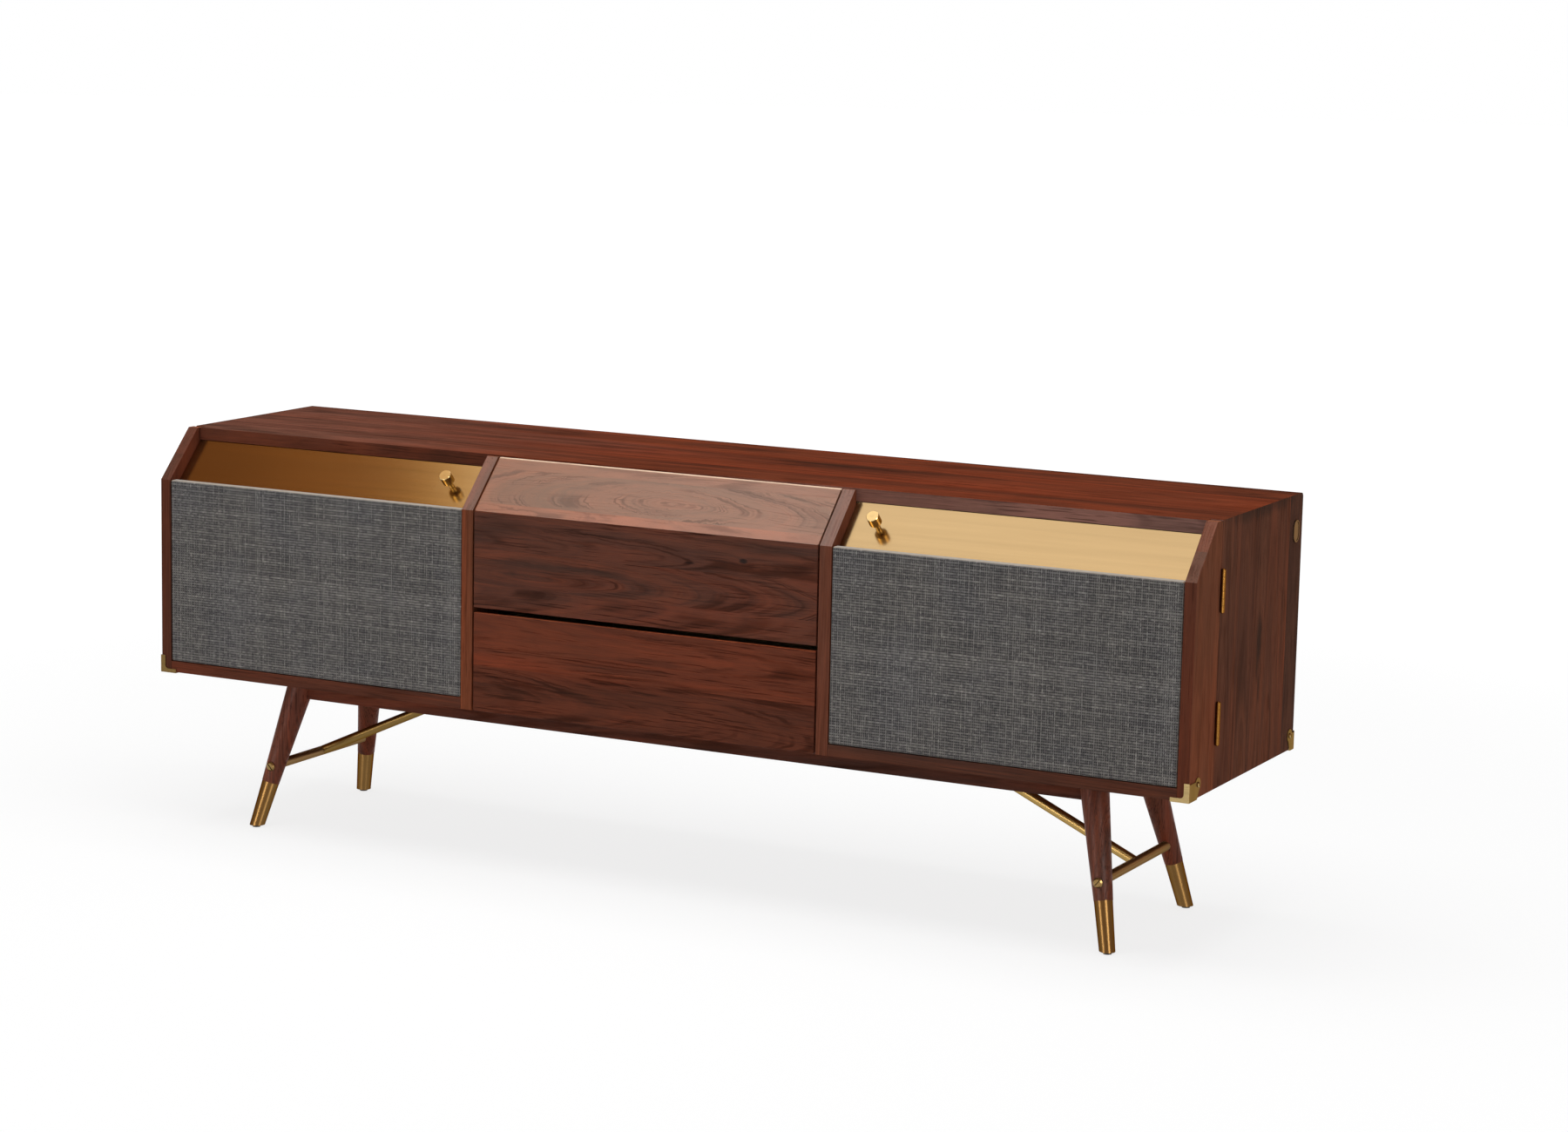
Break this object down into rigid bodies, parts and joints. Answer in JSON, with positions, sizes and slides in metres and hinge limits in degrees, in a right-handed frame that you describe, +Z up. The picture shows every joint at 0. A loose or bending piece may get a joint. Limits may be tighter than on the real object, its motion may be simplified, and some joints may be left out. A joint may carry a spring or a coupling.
{
  "type": "media cabinet",
  "caption": "Low media cabinet on splayed legs, with cloth-fronted hinged side doors, drawers between them and a sloped upper front with brass bands.",
  "frame": {"origin": "on the floor, under the middle of the cabinet", "axes": "+X to the viewer's right along the width, +Y from the front to the back, +Z up"},
  "size_m": [1.8138, 0.443, 0.654],
  "materials": {
    "walnut": "satin lacquer on reddish-brown walnut veneer",
    "dark_walnut": "satin lacquer on dark walnut veneer",
    "pale_wood": "clear lacquer on pale solid wood",
    "brass": "fine brushed, warm",
    "cloth": "coarse grey woven speaker cloth",
    "steel": "zinc-plated",
    "glide_plastic": "black"
  },
  "bodies": {
    "carcass": {"top_panel": "walnut", "bottom_panel": "walnut", "left_side_panel": "walnut", "right_side_panel": "walnut", "left_partition": "dark_walnut", "right_partition": "dark_walnut", "back_panel": "dark_walnut", "left_shelf": "dark_walnut", "right_shelf": "dark_walnut", "shelf_pins": "steel", "front_apron": "walnut", "back_apron": "walnut", "front_left_leg": "walnut", "front_right_leg": "walnut", "back_left_leg": "walnut", "back_right_leg": "walnut", "leg_bolts": "steel", "leg_ferrules": "brass", "leg_glides": "glide_plastic", "left_cross_bar": "brass", "right_cross_bar": "brass", "cross_bar_screws": "brass", "left_brace": "brass", "right_brace": "brass", "brace_flanges": "brass", "back_corner_guards": "brass", "side_plaque": "brass", "door_magnets": "steel", "hinge_frame_leaves": "brass", "hinge_pins": "brass", "drawer_rails": "steel"},
    "left_door": {"left_door_outer_stile": "walnut", "left_door_inner_stile": "walnut", "left_door_bottom_rail": "walnut", "left_door_cloth_panel": "cloth", "left_door_brass_panel": "brass", "left_door_knob": "brass", "left_door_hinge_leaves": "brass", "left_door_corner_guard": "brass", "left_door_strike_plates": "steel"},
    "right_door": {"right_door_outer_stile": "walnut", "right_door_inner_stile": "walnut", "right_door_bottom_rail": "walnut", "right_door_cloth_panel": "cloth", "right_door_brass_panel": "brass", "right_door_knob": "brass", "right_door_hinge_leaves": "brass", "right_door_corner_guard": "brass", "right_door_strike_plates": "steel"},
    "upper_drawer": {"upper_drawer_front": "walnut", "upper_drawer_slope": "walnut", "upper_drawer_sides": "pale_wood", "upper_drawer_back": "pale_wood", "upper_drawer_bottom": "pale_wood", "upper_drawer_slides": "steel"},
    "lower_drawer": {"lower_drawer_front": "walnut", "lower_drawer_sides": "pale_wood", "lower_drawer_back": "pale_wood", "lower_drawer_bottom": "pale_wood", "lower_drawer_slides": "steel"}
  },
  "joints": [
    {"name": "left_door_hinge", "type": "hinge", "parent": "carcass", "child": "left_door", "pos_m": [-0.9036, -0.123, 0.46], "axis": [0, 0, -1], "range_deg": [0, 165]},
    {"name": "right_door_hinge", "type": "hinge", "parent": "carcass", "child": "right_door", "pos_m": [0.9036, -0.123, 0.46], "axis": [0, 0, 1], "range_deg": [0, 165]},
    {"name": "upper_drawer_slide", "type": "slide", "parent": "carcass", "child": "upper_drawer", "axis": [0, -1, 0], "range_m": [0, 0.24]},
    {"name": "lower_drawer_slide", "type": "slide", "parent": "carcass", "child": "lower_drawer", "axis": [0, -1, 0], "range_m": [0, 0.24]}
  ]
}
